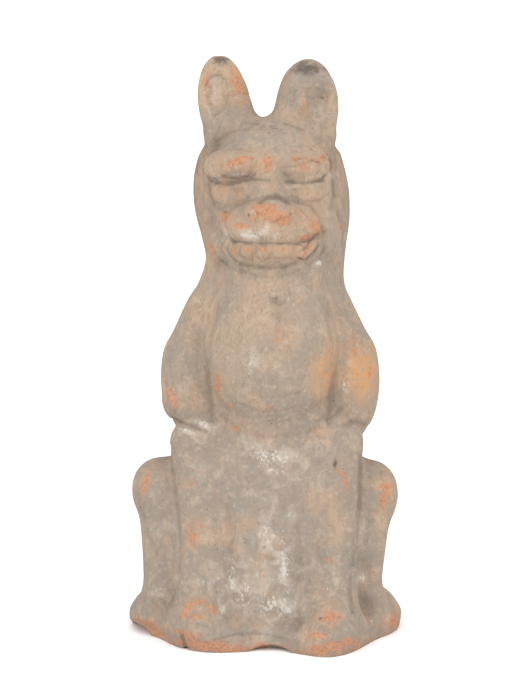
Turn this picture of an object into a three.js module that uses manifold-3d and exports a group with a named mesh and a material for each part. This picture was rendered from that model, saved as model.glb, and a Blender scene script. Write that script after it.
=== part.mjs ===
// Tomb guardian beast: a seated, dog-like guardian figure of moulded earthenware, hollow and open underneath.
// Millimetres, +Z up, the face looks along -Y, the origin is on the table under the middle of the base.
import * as THREE from 'three';
import { mergeVertices } from 'three/addons/utils/BufferGeometryUtils.js';
import { SimplifyModifier } from 'three/addons/modifiers/SimplifyModifier.js';
import Module from 'manifold-3d';

// Driving dimensions
const figureHeight = 300; // table to the taller ear tip
const wall = 9; // clay pressed into the mould
const plinthHalfWidth = 71;
const plinthFront = 62.5; // from the widest place forward, before the paws push it out
const plinthBack = 60.2;
const plinthHeight = 9;

// The figure is modelled in units of a 300th of its height, so pose and proportions follow figureHeight.
const unit = figureHeight / 300;
const wallUnits = wall / unit;

// Mesh density
const netPitch = 2.2;
const triangleTarget = 9400;

// Small helpers
const clamp01 = (t) => Math.min(1, Math.max(0, t));
const mix = (a, b, t) => a + (b - a) * t;
const swell = (x, centre, width) => Math.exp(-(((x - centre) / width) ** 2));

function smoothRise(x, low, high) {
  const t = clamp01((x - low) / (high - low));
  return t * t * (3 - 2 * t);
}

// A value that changes with height in a smooth curve through [height, value] stations
function station(stations, z) {
  const last = stations.length - 1;
  let i = 1;
  while (i < last && stations[i][0] <= z) i++;
  const slope = (k) => {
    if (k === 0 || k === last) return 0;
    return (stations[k + 1][1] - stations[k - 1][1]) / (stations[k + 1][0] - stations[k - 1][0]);
  };
  const span = stations[i][0] - stations[i - 1][0];
  const t = clamp01((z - stations[i - 1][0]) / span);
  const bend = t * (1 - t) * span * ((1 - t) * slope(i - 1) - t * slope(i));
  return mix(stations[i - 1][1], stations[i][1], t * t * (3 - 2 * t)) + bend;
}

// Distance fields of the simple masses, negative inside
function egg(p, centre, radii) {
  const x = (p[0] - centre[0]) / radii[0];
  const y = (p[1] - centre[1]) / radii[1];
  const z = (p[2] - centre[2]) / radii[2];
  const reach = Math.sqrt(x * x + y * y + z * z);
  const slope = Math.sqrt((x / radii[0]) ** 2 + (y / radii[1]) ** 2 + (z / radii[2]) ** 2);
  return slope > 1e-9 ? (reach * (reach - 1)) / slope : -Math.min(radii[0], radii[1], radii[2]);
}

function limb(p, from, to, fromRadius, toRadius) {
  const ax = to[0] - from[0];
  const ay = to[1] - from[1];
  const az = to[2] - from[2];
  const x = p[0] - from[0];
  const y = p[1] - from[1];
  const z = p[2] - from[2];
  const t = clamp01((x * ax + y * ay + z * az) / (ax * ax + ay * ay + az * az));
  const across = Math.sqrt((x - ax * t) ** 2 + (y - ay * t) ** 2 + (z - az * t) ** 2);
  return across - mix(fromRadius, toRadius, t);
}

// A column whose oval section changes with height, squarer than an ellipse by its power
function column(p, { middle, halfWidth, front, back, bottom, top, power }) {
  const z = Math.min(top, Math.max(bottom, p[2]));
  const half = station(halfWidth, z);
  const near = station(front, z);
  const far = station(back, z);
  const depth = (far - near) / 2;
  const x = Math.abs(p[0] - station(middle, z)) / half;
  const y = Math.abs(p[1] - (near + far) / 2) / depth;
  const side = ((x ** power + y ** power) ** (1 / power) - 1) * Math.min(half, depth);
  const over = Math.max(p[2] - top, bottom - p[2]);
  return over > 0 ? Math.hypot(Math.max(side, 0), over) : side;
}

// Joins and carves with a soft seam of the given width
function join(a, b, seam) {
  const h = Math.max(seam - Math.abs(a - b), 0) / seam;
  return Math.min(a, b) - (h * h * seam) / 4;
}
const carve = (a, tool, seam) => -join(-a, tool, seam);

// Sculpture, in units
// Each mass has its own short function, and side is -1 to the viewer's left and 1 to the right.
const torsoForm = {
  middle: [[0, -1], [100, 0], [150, 1], [205, 3]],
  halfWidth: [[0, 56], [30, 51], [88, 47], [105, 49], [122, 45], [150, 41], [172, 35], [205, 30]],
  front: [[0, -51], [30, -47], [60, -43.5], [95, -38], [120, -30], [150, -23], [205, -18]],
  back: [[-5, 67], [40, 65], [80, 58], [120, 50], [160, 42], [205, 36]],
  bottom: -20, top: 205, power: 2.4,
};
const hoodForm = {
  middle: [[150, 1.3], [170, 0.5], [182, 1.6], [194, 4.2], [207, 3.4], [226, 1.9], [246, 0.9]],
  halfWidth: [
    [118, 41], [138, 47.5], [150, 49.3], [160, 46.5], [170, 42.4], [178, 38.4], [186, 35.8],
    [194, 35.4], [202, 37.2], [213, 40], [226, 41.1], [236, 40.4], [247, 37.8], [258, 33],
  ],
  front: [[118, 0], [150, -6], [170, -12], [190, -6], [226, -3], [258, 0]],
  back: [[118, 44], [150, 41], [190, 36], [224, 38], [240, 35], [252, 27.5], [262, 16]],
  bottom: 120, top: 290, power: 2.7,
};
const hoodTop = { height: 259.5, round: 5 };
const plinth = {
  middle: -1.2, halfWidth: plinthHalfWidth / unit, widest: 6,
  front: plinthFront / unit, back: plinthBack / unit,
  height: plinthHeight / unit, round: 2.5, power: 1.98,
};

// The paws push the front edge of the base out, the figure's left one the most
const pawReach = { left: 7, right: 19 };

function pawPush(x) {
  const paws = pawReach.left * swell(x, -30, 17) + pawReach.right * swell(x, 33, 18);
  return paws - 3 * swell(x, 1, 9) - 8 * swell(x, -63, 9) - 5 * swell(x, 66, 8);
}

// A chip has gone from the rim between the paws, and the rim's left corner is worn away below
const rimChip = { at: [1, -59, -2], size: [11, 9, 5.5] };
const rimWear = { at: [-70, -25, -3], size: [9, 28, 8] };

function plinthMass(p) {
  const y = p[1] - plinth.widest + (p[1] < plinth.widest ? pawPush(p[0]) : 0);
  const depth = y < 0 ? plinth.front : plinth.back;
  const across = Math.abs(p[0] - plinth.middle) / plinth.halfWidth;
  const reach = (across ** plinth.power + Math.abs(y / depth) ** plinth.power) ** (1 / plinth.power);
  const side = (reach - 1) * Math.min(plinth.halfWidth, depth) + plinth.round;
  const up = p[2] - plinth.height + plinth.round;
  return Math.min(Math.max(side, up), 0) + Math.hypot(Math.max(side, 0), Math.max(up, 0)) - plinth.round;
}

function chest(p) {
  const barrel = egg(p, [1.5, -14, 142], [34, 31, 39]);
  const neck = limb(p, [2, -10, 160], [3, -8, 194], 26, 27);
  return join(barrel, neck, 20);
}

function upperArm(p, side) {
  const left = side < 0;
  const shoulder = limb(p, [left ? -30 : 31, 8, 166], [left ? -38 : 40, 2, 146], 12.5, 15.5);
  const elbow = egg(p, left ? [-39.5, -2, 129] : [42, -2, 129], [16.5, 18, 20]);
  const tip = left ? egg(p, [-40.3, -4, 118.5], [13, 16, 9.5]) : egg(p, [42.5, -4, 115.5], [12.3, 16, 13]);
  return join(join(shoulder, elbow, 12), tip, 7);
}

const paws = { left: [-35, -44, 12], right: [32, -50, 12], size: [14.5, 15, 12] };

function foreleg(p, side) {
  const left = side < 0;
  const shoulder = [left ? -37 : 34, -24, 102];
  const wrist = left ? [-36, -37, 18] : [33, -40, 18];
  const paw = egg(p, left ? paws.left : paws.right, paws.size);
  return join(limb(p, shoulder, wrist, left ? 13.5 : 15, 12.5), paw, 12);
}

// The haunch's foot sits a little outside the middle of the haunch
const haunchMiddle = { left: -56.5, right: 53.5 };
const footOut = 1.5;
const footHalf = 12.5;

function haunch(p, side) {
  const left = side < 0;
  const drop = left ? 0 : 4;
  const middle = left ? haunchMiddle.left : haunchMiddle.right;
  const thigh = egg(p, [left ? -47 : 42.5, 10, 58 - drop / 2], [18, 43, 29]);
  const knee = egg(p, [middle, -10, 76.5 - drop / 2], [14.5, 21, left ? 15 : 15.5]);
  const shin = limb(p, [middle, -18, 70 - drop], [middle - 2.5 * side, -24, 26], 9.8, left ? 10.8 : 8);
  const foot = egg(p, [middle + footOut * side, -11, 10], [footHalf, 18, 13.5]);
  return join(join(join(thigh, knee, 6), shin, 10), foot, 12);
}

const tailRoot = { at: [0, 62, 8], radius: 7 };

function tail(p) {
  const root = limb(p, tailRoot.at, [6, 63, 40], tailRoot.radius, 6);
  const curl = limb(p, [6, 63, 40], [-3, 56, 76], 6, 5);
  return join(root, curl, 4);
}

// A heavy brow like a pillow, flat below and soft above
function brow(q, side) {
  const left = side < 0;
  const outer = left ? [-25, -11, 244] : [24.5, -15, 245];
  const inner = left ? [-12.5, -22.5, 245.5] : [12.5, -24.5, 245.5];
  const pillow = limb(q, outer, inner, left ? 8 : 7.5, 7);
  return carve(pillow, q[2] - (left ? 237 : 238.4), left ? 3 : 1.5);
}

// A closed eye that bulges under its brow
function eye(q, side) {
  return side < 0 ? egg(q, [-20, -15, 230.5], [9.8, 11, 8.5]) : egg(q, [19, -16, 232], [10.5, 9, 7.5]);
}

function jowl(q, side) {
  return side < 0 ? egg(q, [-25, -8, 203], [8, 13, 11]) : egg(q, [27, -7, 209], [8.5, 13, 15]);
}

// The broad domed muzzle, cut off below by the upper lip, with a low nose on it
function muzzle(q) {
  const dome = egg(q, [0, -19.5, 215], [26, 23, 14]);
  let nose = egg(q, [0, -36.5, 223], [11.5, 8, 5.5]);
  nose = join(nose, egg(q, [-8.5, -38.5, 222.5], [4, 5.5, 3.8]), 3);
  nose = join(nose, egg(q, [7.5, -39, 220.5], [4, 5, 3.8]), 3);
  const lipEdge = 205 + 0.05 * q[0] + 0.004 * q[0] ** 2;
  return carve(join(dome, nose, 5), q[2] - lipEdge, 3);
}

// Teeth in low relief round the jaw's curve, with a tusk at each end
const jaw = { at: [0, -17.5, 204.5], size: [24, 23.5, 13] };
const toothPlaces = [-12, -4.2, 4.4, 12.1];

function jawFront(x, z) {
  const across = (x / jaw.size[0]) ** 2 + ((z - jaw.at[2]) / jaw.size[2]) ** 2;
  return jaw.at[1] - jaw.size[1] * Math.sqrt(Math.max(0, 1 - across));
}

function teeth(q, head) {
  let d = head;
  for (const x of toothPlaces) {
    const tooth = egg(q, [x, jawFront(x, 203) + 1.2, 203], [4.1, 2.7, 3.8]);
    d = join(d, tooth, 1.5);
  }
  for (const side of [-1, 1]) {
    const gum = [20 * side, jawFront(20, 206) + 0.5, 206];
    const point = [15.6 * side, jawFront(15.6, 199.5) + 0.3, 199.5];
    d = join(d, limb(q, gum, point, 3.7, 2.4), 2);
  }
  return d;
}

// The face, softly pressed. Its middle line slants a little, and its two sides differ.
const faceMiddle = [[205, 1.8], [245, 0]];

function face(p) {
  const q = [p[0] - station(faceMiddle, p[2]), p[1], p[2]];
  const browSeam = mix(1.5, 8, smoothRise(p[2], 242, 252));
  let d = egg(p, [2.5, -1, 231], [31, 28, 38]);
  d = join(d, limb(q, [0, -19, 246], [0, -29, 229], 5, 6), 8);
  for (const side of [-1, 1]) {
    d = join(d, jowl(q, side), 7);
    d = join(d, eye(q, side), 4);
  }
  for (const side of [-1, 1]) d = join(d, brow(q, side), browSeam);
  d = join(d, egg(q, [0, -22, 247], [6, 6.5, 5.5]), 4);
  d = join(d, egg(q, [0, -29.5, 235.5], [5.5, 4.5, 4]), 3);
  d = join(d, egg(q, jaw.at, jaw.size), 6);
  d = join(d, egg(q, [0, -17.5, 198.5], [19.5, 21, 4.2]), 3);
  const muzzleSeam = mix(2, 9, smoothRise(q[2], 210, 220));
  return join(teeth(q, d), muzzle(q), muzzleSeam);
}

const earForms = {
  narrow: {
    middle: -23, half: 13.4, tip: 301, lean: -0.09, root: [[-11, 5, 258], [-18.5, 5, 280]],
    cup: [-27, -7.5, 281], cupSize: [7, 8.5, 12.5],
  },
  broad: {
    middle: 20.8, half: 16, tip: 299, lean: 0, root: [[9.5, 5, 260], [16, 5, 286]],
    cup: [27, -7, 278], cupSize: [8, 7.5, 13],
  },
};
const earHeight = 50;

function ear(p, side) {
  const form = side < 0 ? earForms.narrow : earForms.broad;
  const middle = form.tip - earHeight / 2;
  const lean = form.lean * (p[2] - middle);
  const leaf = egg(p, [form.middle + lean, 4, middle], [form.half, 8.5, earHeight / 2]);
  const root = limb(p, ...form.root, 9.5, 6);
  return carve(join(leaf, root, 6), egg(p, form.cup, form.cupSize), 2);
}

// Body and hood, which the hollow inside follows. The hood is rounded over at its top.
function trunk(p) {
  const hood = carve(column(p, hoodForm), hoodTop.height - p[2], hoodTop.round);
  return join(column(p, torsoForm), hood, 10);
}

function outside(p) {
  const haunchSeam = mix(6, 11, smoothRise(p[2], 78, 92));
  const chestSeam = mix(13, 4, smoothRise(p[2], 106, 124));
  let d = trunk(p);
  for (const side of [-1, 1]) d = join(d, foreleg(p, side), 12);
  for (const side of [-1, 1]) {
    d = join(d, upperArm(p, side), 5);
    d = join(d, haunch(p, side), haunchSeam);
  }
  d = join(d, chest(p), chestSeam);
  d = join(d, tail(p), 3);
  d = join(d, face(p), 3);
  for (const side of [-1, 1]) d = join(d, ear(p, side), 7);
  d = join(d, plinthMass(p), 13);
  d = carve(d, egg(p, rimWear.at, rimWear.size), 2);
  return carve(d, egg(p, rimChip.at, rimChip.size), 1);
}

// The hollow keeps the wall's thickness inside the trunk, and ends in a dome behind the eyes
const hollowTop = 236;
const hollow = (p) => -join(-(trunk(p) + wallUnits), hollowTop - p[2], 16);

// The field runs a little below the table, which then cuts the figure off flat
const skirt = 6;
const figureField = (p) => Math.max(outside(p), -hollow(p), -skirt - p[2]);

// Values of a field on a grid. A block far from the surface takes the value at its middle.
function sampleGrid(field, low, size, pitch) {
  const block = 4;
  const farAway = block * pitch * 1.3;
  const values = new Float32Array(size[0] * size[1] * size[2]);
  const at = (i, j, k) => field([low[0] + i * pitch, low[1] + j * pitch, low[2] + k * pitch]);
  for (let k = 0; k < size[2]; k += block)
    for (let j = 0; j < size[1]; j += block)
      for (let i = 0; i < size[0]; i += block) {
        const middle = at(i + block / 2, j + block / 2, k + block / 2);
        const near = Math.abs(middle) < farAway;
        for (let kk = k; kk < Math.min(k + block, size[2]); kk++)
          for (let jj = j; jj < Math.min(j + block, size[1]); jj++)
            for (let ii = i; ii < Math.min(i + block, size[0]); ii++)
              values[ii + size[0] * (jj + size[1] * kk)] = near ? at(ii, jj, kk) : middle;
      }
  return values;
}

// Surface net of a field: one vertex in each cell that the surface crosses, one quad round each crossed edge
function netGeometry(field, low, high, pitch) {
  const size = low.map((v, k) => Math.ceil((high[k] - v) / pitch) + 1);
  const stride = [1, size[0], size[0] * size[1]];
  const values = sampleGrid(field, low, size, pitch);
  const vertexOf = new Int32Array(values.length).fill(-1);
  const points = [];
  const corners = Array.from({ length: 8 }, (_, c) => [c & 1, (c >> 1) & 1, c >> 2]);
  const edges = [];
  corners.forEach((a, m) => corners.forEach((b, n) => {
    if (m < n && a.reduce((sum, v, k) => sum + Math.abs(v - b[k]), 0) === 1) edges.push([m, n]);
  }));
  const offset = corners.map((c) => c[0] * stride[0] + c[1] * stride[1] + c[2] * stride[2]);
  for (let k = 0; k < size[2] - 1; k++)
    for (let j = 0; j < size[1] - 1; j++)
      for (let i = 0; i < size[0] - 1; i++) {
        const cell = i + j * stride[1] + k * stride[2];
        const sum = [0, 0, 0];
        let crossings = 0;
        for (const [m, n] of edges) {
          const a = values[cell + offset[m]];
          const b = values[cell + offset[n]];
          if (a < 0 === b < 0) continue;
          const t = a / (a - b);
          for (let s = 0; s < 3; s++) sum[s] += mix(corners[m][s], corners[n][s], t);
          crossings++;
        }
        if (!crossings) continue;
        vertexOf[cell] = points.length / 3;
        points.push(...sum.map((s, axis) => low[axis] + ([i, j, k][axis] + s / crossings) * pitch));
      }

  const triangles = [];
  for (let k = 1; k < size[2] - 1; k++)
    for (let j = 1; j < size[1] - 1; j++)
      for (let i = 1; i < size[0] - 1; i++) {
        const node = i + j * stride[1] + k * stride[2];
        for (let axis = 0; axis < 3; axis++) {
          const inside = values[node] < 0;
          if (inside === values[node + stride[axis]] < 0) continue;
          const u = stride[(axis + 1) % 3];
          const v = stride[(axis + 2) % 3];
          const quad = [node - u - v, node - v, node, node - u].map((cell) => vertexOf[cell]);
          if (!inside) quad.reverse();
          triangles.push(quad[0], quad[1], quad[2], quad[0], quad[2], quad[3]);
        }
      }
  const geometry = new THREE.BufferGeometry();
  geometry.setAttribute('position', new THREE.Float32BufferAttribute(points, 3));
  return geometry.setIndex(triangles);
}

// A closed geometry becomes a solid for joining and cutting
const wasm = await Module();
wasm.setup();

function solidOf(geometry) {
  const bare = geometry.clone();
  bare.deleteAttribute('normal');
  bare.deleteAttribute('uv');
  const merged = mergeVertices(bare, 1e-3);
  const vertProperties = merged.attributes.position.array;
  const triVerts = new Uint32Array(merged.index.array);
  return new wasm.Manifold(new wasm.Mesh({ numProp: 3, vertProperties, triVerts }));
}

function geometryOf(solid) {
  const mesh = solid.getMesh();
  const geometry = new THREE.BufferGeometry();
  geometry.setAttribute('position', new THREE.BufferAttribute(mesh.vertProperties, 3));
  geometry.setIndex(new THREE.BufferAttribute(mesh.triVerts, 1));
  geometry.computeVertexNormals();
  return geometry;
}

// Room round the figure for the net: past the base, the feet, the paws, the tail and the ears
const clearance = 7;
const footReach = Math.max(-haunchMiddle.left, haunchMiddle.right) + footOut + footHalf;
const sideReach = Math.max(plinth.halfWidth + Math.abs(plinth.middle), footReach) + clearance;
const rimReach = plinth.front - plinth.widest + pawReach.right;
const frontReach = Math.max(rimReach, paws.size[1] - paws.right[1]) + clearance;
const backReach = Math.max(plinth.back + plinth.widest, tailRoot.at[1] + tailRoot.radius) + clearance;
const topReach = Math.max(earForms.narrow.tip, earForms.broad.tip, hoodTop.height) + clearance;

// The net is thinned, and set down with the middle of its base on the origin
const low = [-sideReach, -frontReach, -2 * skirt];
const high = [sideReach, backReach, topReach];
const fine = netGeometry(figureField, low, high, netPitch);
const surplus = Math.round((fine.index.count / 3 - triangleTarget) / 2);
const thinned = await new SimplifyModifier().modify(fine, surplus);
thinned.translate(-plinth.middle, 0, 0);
thinned.scale(unit, unit, unit);

// All that lies below the table is cut away
const reach = 100 * unit;
const room = new THREE.BoxGeometry(2 * reach, 2 * reach, figureHeight + reach);
room.translate(0, 0, (figureHeight + reach) / 2);
const figure = solidOf(thinned).intersect(solidOf(room));

const clay = new THREE.MeshStandardMaterial({ color: 0xad9b87, roughness: 0.95, metalness: 0 });
const beast = new THREE.Mesh(geometryOf(figure), clay);
beast.name = 'guardian_beast';

const root = new THREE.Group();
root.add(beast);
export default root;
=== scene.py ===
import math
import bpy
import numpy as np
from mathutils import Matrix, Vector


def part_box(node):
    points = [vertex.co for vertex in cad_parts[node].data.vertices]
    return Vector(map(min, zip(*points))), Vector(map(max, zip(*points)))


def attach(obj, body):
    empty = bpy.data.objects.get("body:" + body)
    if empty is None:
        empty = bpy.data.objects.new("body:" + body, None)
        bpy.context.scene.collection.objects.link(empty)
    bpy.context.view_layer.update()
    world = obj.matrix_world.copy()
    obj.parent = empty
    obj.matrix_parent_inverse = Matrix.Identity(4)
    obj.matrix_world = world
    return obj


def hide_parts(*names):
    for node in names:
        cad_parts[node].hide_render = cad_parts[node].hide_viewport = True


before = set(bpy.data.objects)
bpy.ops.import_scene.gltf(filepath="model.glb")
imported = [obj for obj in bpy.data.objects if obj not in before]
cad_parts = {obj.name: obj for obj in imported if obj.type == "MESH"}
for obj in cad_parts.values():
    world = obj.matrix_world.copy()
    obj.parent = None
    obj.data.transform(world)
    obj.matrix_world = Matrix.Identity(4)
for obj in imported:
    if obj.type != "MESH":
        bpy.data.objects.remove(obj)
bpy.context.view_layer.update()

# A seated guardian beast of moulded earthenware, hollow and open underneath, with worn pale slip.
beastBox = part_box("guardian_beast")

# The figure is modelled in units of a 300th of its height, as its solid is, and set down by its base's middle
figure = {
    "unit": (beastBox[1][2] - beastBox[0][2]) / 300.5,  # metres for one unit
    "wall": 9.0,            # clay pressed into the mould, in units
    "netPitch": 1.05,
    "faceTarget": 180000,
    "undulation": 0.0006,   # hand-pressed unevenness, metres
    "undulationSize": 0.017,
    "grain": 0.00022,       # coarse clay grain, metres
    "grainSize": 0.0032,
    "pitDepth": 0.0006,     # burst lime grains and knocks
    "pitSize": 0.011,
    "pitReach": 0.16,       # how far a pit spreads, as a share of its size
    "footing": 0.0012,      # below this height the skin stays flat on the table
    "seed": 7,
}


# Small helpers
def mix(a, b, t):
    return a + (b - a) * t


def swell(x, centre, width):
    return np.exp(-(((x - centre) / width) ** 2))


def smoothRise(x, low, high):
    t = np.clip((x - low) / (high - low), 0, 1)
    return t * t * (3 - 2 * t)


# A value that changes with height in a smooth curve through (height, value) stations
def station(stations, z):
    heights, values = (np.array(row, np.float32) for row in zip(*stations))
    slopes = np.zeros_like(values)
    slopes[1:-1] = (values[2:] - values[:-2]) / (heights[2:] - heights[:-2])
    i = np.clip(np.searchsorted(heights, z, side="right"), 1, len(heights) - 1)
    span = heights[i] - heights[i - 1]
    t = np.clip((z - heights[i - 1]) / span, 0, 1)
    bend = t * (1 - t) * span * ((1 - t) * slopes[i - 1] - t * slopes[i])
    return mix(values[i - 1], values[i], t * t * (3 - 2 * t)) + bend


# Distance fields of the simple masses, negative inside
def egg(p, at, size):
    x, y, z = ((p[k] - at[k]) / size[k] for k in range(3))
    reach = np.sqrt(x * x + y * y + z * z)
    slope = np.sqrt((x / size[0]) ** 2 + (y / size[1]) ** 2 + (z / size[2]) ** 2)
    return reach * (reach - 1) / np.maximum(slope, 1e-6)


def limb(p, start, end, startRadius, endRadius):
    along = [end[k] - start[k] for k in range(3)]
    away = [p[k] - start[k] for k in range(3)]
    t = sum(away[k] * along[k] for k in range(3)) / sum(a * a for a in along)
    t = np.clip(t, 0, 1)
    across = np.sqrt(sum((away[k] - along[k] * t) ** 2 for k in range(3)))
    return across - mix(startRadius, endRadius, t)


# A column whose oval section changes with height, squarer than an ellipse by its power
def column(p, form):
    z = np.clip(p[2], form["bottom"], form["top"])
    half = station(form["halfWidth"], z)
    near = station(form["front"], z)
    far = station(form["back"], z)
    depth = (far - near) / 2
    power = form["power"]
    x = np.abs(p[0] - station(form["middle"], z)) / half
    y = np.abs(p[1] - (near + far) / 2) / depth
    side = ((x ** power + y ** power) ** (1 / power) - 1) * np.minimum(half, depth)
    over = np.maximum(p[2] - form["top"], form["bottom"] - p[2])
    return np.where(over > 0, np.hypot(np.maximum(side, 0), over), side)


# Joins and carves with a soft seam of the given width
def join(a, b, seam):
    h = np.maximum(seam - np.abs(a - b), 0) / seam
    return np.minimum(a, b) - h * h * seam / 4


def carve(a, tool, seam):
    return -join(-a, tool, seam)


torsoForm = {
    "middle": [(0, -1), (100, 0), (150, 1), (205, 3)],
    "halfWidth": [(0, 56), (30, 51), (88, 47), (105, 49), (122, 45), (150, 41), (172, 35), (205, 30)],
    "front": [(0, -51), (30, -47), (60, -43.5), (95, -38), (120, -30), (150, -23), (205, -18)],
    "back": [(-5, 67), (40, 65), (80, 58), (120, 50), (160, 42), (205, 36)],
    "bottom": -20, "top": 205, "power": 2.4,
}
hoodForm = {
    "middle": [(150, 1.3), (170, 0.5), (182, 1.6), (194, 4.2), (207, 3.4), (226, 1.9), (246, 0.9)],
    "halfWidth": [(118, 41), (138, 47.5), (150, 49.3), (160, 46.5), (170, 42.4), (178, 38.4), (186, 35.8),
                  (194, 35.4), (202, 37.2), (213, 40), (226, 41.1), (236, 40.4), (247, 37.8), (258, 33)],
    "front": [(118, 0), (150, -6), (170, -12), (190, -6), (226, -3), (258, 0)],
    "back": [(118, 44), (150, 41), (190, 36), (224, 38), (240, 35), (252, 27.5), (262, 16)],
    "bottom": 120, "top": 290, "power": 2.7,
}
hoodTop = {"height": 259.5, "round": 5}
plinth = {"middle": -1.2, "halfWidth": 71, "widest": 6, "front": 62.5, "back": 60.2, "height": 9,
          "round": 2.5, "power": 1.98}
rimChip = {"at": (1, -59, -2), "size": (11, 9, 5.5)}
rimWear = {"at": (-70, -25, -3), "size": (9, 28, 8)}
jaw = {"at": (0, -17.5, 204.5), "size": (24, 23.5, 13)}
faceMiddle = [(205, 1.8), (245, 0)]
ears = {
    "narrow": {"middle": -23, "half": 13.4, "tip": 301, "lean": -0.09,
               "root": ((-11, 5, 258), (-18.5, 5, 280)),
               "cup": (-27, -7.5, 281), "cupSize": (7, 8.5, 12.5)},
    "broad": {"middle": 20.8, "half": 16, "tip": 299, "lean": 0, "root": ((9.5, 5, 260), (16, 5, 286)),
              "cup": (27, -7, 278), "cupSize": (8, 7.5, 13)},
}
hollowTop = 236


# The paws push the front edge of the base out, the figure's left one the most
def pawPush(x):
    paws = 7 * swell(x, -30, 17) + 19 * swell(x, 33, 18) - 3 * swell(x, 1, 9)
    return paws - 8 * swell(x, -63, 9) - 5 * swell(x, 66, 8)


def plinthMass(p):
    y = p[1] - plinth["widest"] + np.where(p[1] < plinth["widest"], pawPush(p[0]), 0)
    depth = np.where(y < 0, plinth["front"], plinth["back"])
    power = plinth["power"]
    across = np.abs(p[0] - plinth["middle"]) / plinth["halfWidth"]
    reach = (across ** power + np.abs(y / depth) ** power) ** (1 / power)
    side = (reach - 1) * np.minimum(plinth["halfWidth"], depth) + plinth["round"]
    up = p[2] - plinth["height"] + plinth["round"]
    corner = np.hypot(np.maximum(side, 0), np.maximum(up, 0))
    return np.minimum(np.maximum(side, up), 0) + corner - plinth["round"]


def chest(p):
    barrel = egg(p, (1.5, -14, 142), (34, 31, 39))
    neck = limb(p, (2, -10, 160), (3, -8, 194), 26, 27)
    return join(barrel, neck, 20)


def upperArm(p, side):
    left = side < 0
    shoulder = limb(p, (-30 if left else 31, 8, 166), (-38 if left else 40, 2, 146), 12.5, 15.5)
    elbow = egg(p, (-39.5 if left else 42, -2, 129), (16.5, 18, 20))
    tip = egg(p, (-40.3, -4, 118.5) if left else (42.5, -4, 115.5), (13, 16, 9.5) if left else (12.3, 16, 13))
    return join(join(shoulder, elbow, 12), tip, 7)


def foreleg(p, side):
    left = side < 0
    reach = 0 if left else -6
    shoulder = (-37 if left else 34, -24, 102)
    wrist = (-36 if left else 33, -37 + reach / 2, 18)
    leg = limb(p, shoulder, wrist, 13.5 if left else 15, 12.5)
    paw = egg(p, (-35 if left else 32, -44 + reach, 12), (14.5, 15, 12))
    return join(leg, paw, 12)


def haunch(p, side):
    left = side < 0
    drop = 0 if left else 4
    middle = -56.5 if left else 53.5
    thigh = egg(p, (-47 if left else 42.5, 10, 58 - drop / 2), (18, 43, 29))
    knee = egg(p, (middle, -10, 76.5 - drop / 2), (14.5, 21, 15 if left else 15.5))
    shin = limb(p, (middle, -18, 70 - drop), (middle - 2.5 * side, -24, 26), 9.8, 10.8 if left else 8)
    foot = egg(p, (middle + 1.5 * side, -11, 10), (12.5, 18, 13.5))
    return join(join(join(thigh, knee, 6), shin, 10), foot, 12)


def tail(p):
    root = limb(p, (0, 62, 8), (6, 63, 40), 7, 6)
    curl = limb(p, (6, 63, 40), (-3, 56, 76), 6, 5)
    return join(root, curl, 4)


# A heavy brow like a pillow, flat below and soft above
def brow(q, side):
    left = side < 0
    outer = (-25, -11, 244) if left else (24.5, -15, 245)
    inner = (-12.5, -22.5, 245.5) if left else (12.5, -24.5, 245.5)
    pillow = limb(q, outer, inner, 8 if left else 7.5, 7)
    return carve(pillow, q[2] - (237 if left else 238.4), 3 if left else 1.5)


# A closed eye that bulges under its brow
def eye(q, side):
    return egg(q, (-20, -15, 230.5), (9.8, 11, 8.5)) if side < 0 else egg(q, (19, -16, 232), (10.5, 9, 7.5))


def jowl(q, side):
    return egg(q, (-25, -8, 203), (8, 13, 11)) if side < 0 else egg(q, (27, -7, 209), (8.5, 13, 15))


# The broad domed muzzle, cut off below by the upper lip, with a low nose on it
def muzzle(q):
    dome = egg(q, (0, -19.5, 215), (26, 23, 14))
    nose = join(egg(q, (0, -36.5, 223), (11.5, 8, 5.5)), egg(q, (-8.5, -38.5, 222.5), (4, 5.5, 3.8)), 3)
    nose = join(nose, egg(q, (7.5, -39, 220.5), (4, 5, 3.8)), 3)
    lipEdge = 205 + 0.05 * q[0] + 0.004 * q[0] ** 2
    return carve(join(dome, nose, 5), q[2] - lipEdge, 3)


# The face, softly pressed. Its middle line slants a little, and its two sides differ.
def face(p):
    q = (p[0] - station(faceMiddle, p[2]), p[1], p[2])
    d = egg(p, (2.5, -1, 231), (31, 28, 38))
    d = join(d, limb(q, (0, -19, 246), (0, -29, 229), 5, 6), 8)
    for side in (-1, 1):
        d = join(d, jowl(q, side), 7)
        d = join(d, eye(q, side), 4)
    browSeam = mix(1.5, 8, smoothRise(q[2], 242, 252))
    for side in (-1, 1):
        d = join(d, brow(q, side), browSeam)
    d = join(d, egg(q, (0, -22, 247), (6, 6.5, 5.5)), 4)
    d = join(d, egg(q, (0, -29.5, 235.5), (5.5, 4.5, 4)), 3)
    d = join(d, egg(q, jaw["at"], jaw["size"]), 6)
    d = join(d, egg(q, (0, -17.5, 198.5), (19.5, 21, 4.2)), 3)
    d = teeth(q, d)
    return join(d, muzzle(q), mix(2, 9, smoothRise(q[2], 210, 220)))


# Teeth in low relief round the jaw's curve, with a tusk at each end
def teeth(q, head):
    def jawFront(x, z):
        across = (x / jaw["size"][0]) ** 2 + ((z - jaw["at"][2]) / jaw["size"][2]) ** 2
        return jaw["at"][1] - jaw["size"][1] * math.sqrt(max(0, 1 - across))
    d = head
    for x in (-12, -4.2, 4.4, 12.1):
        d = join(d, egg(q, (x, jawFront(x, 203) + 1.2, 203), (4.1, 2.7, 3.8)), 1.5)
    for side in (-1, 1):
        upper = (20 * side, jawFront(20, 206) + 0.5, 206)
        lower = (15.6 * side, jawFront(15.6, 199.5) + 0.3, 199.5)
        d = join(d, limb(q, upper, lower, 3.7, 2.4), 2)
    return d


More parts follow.
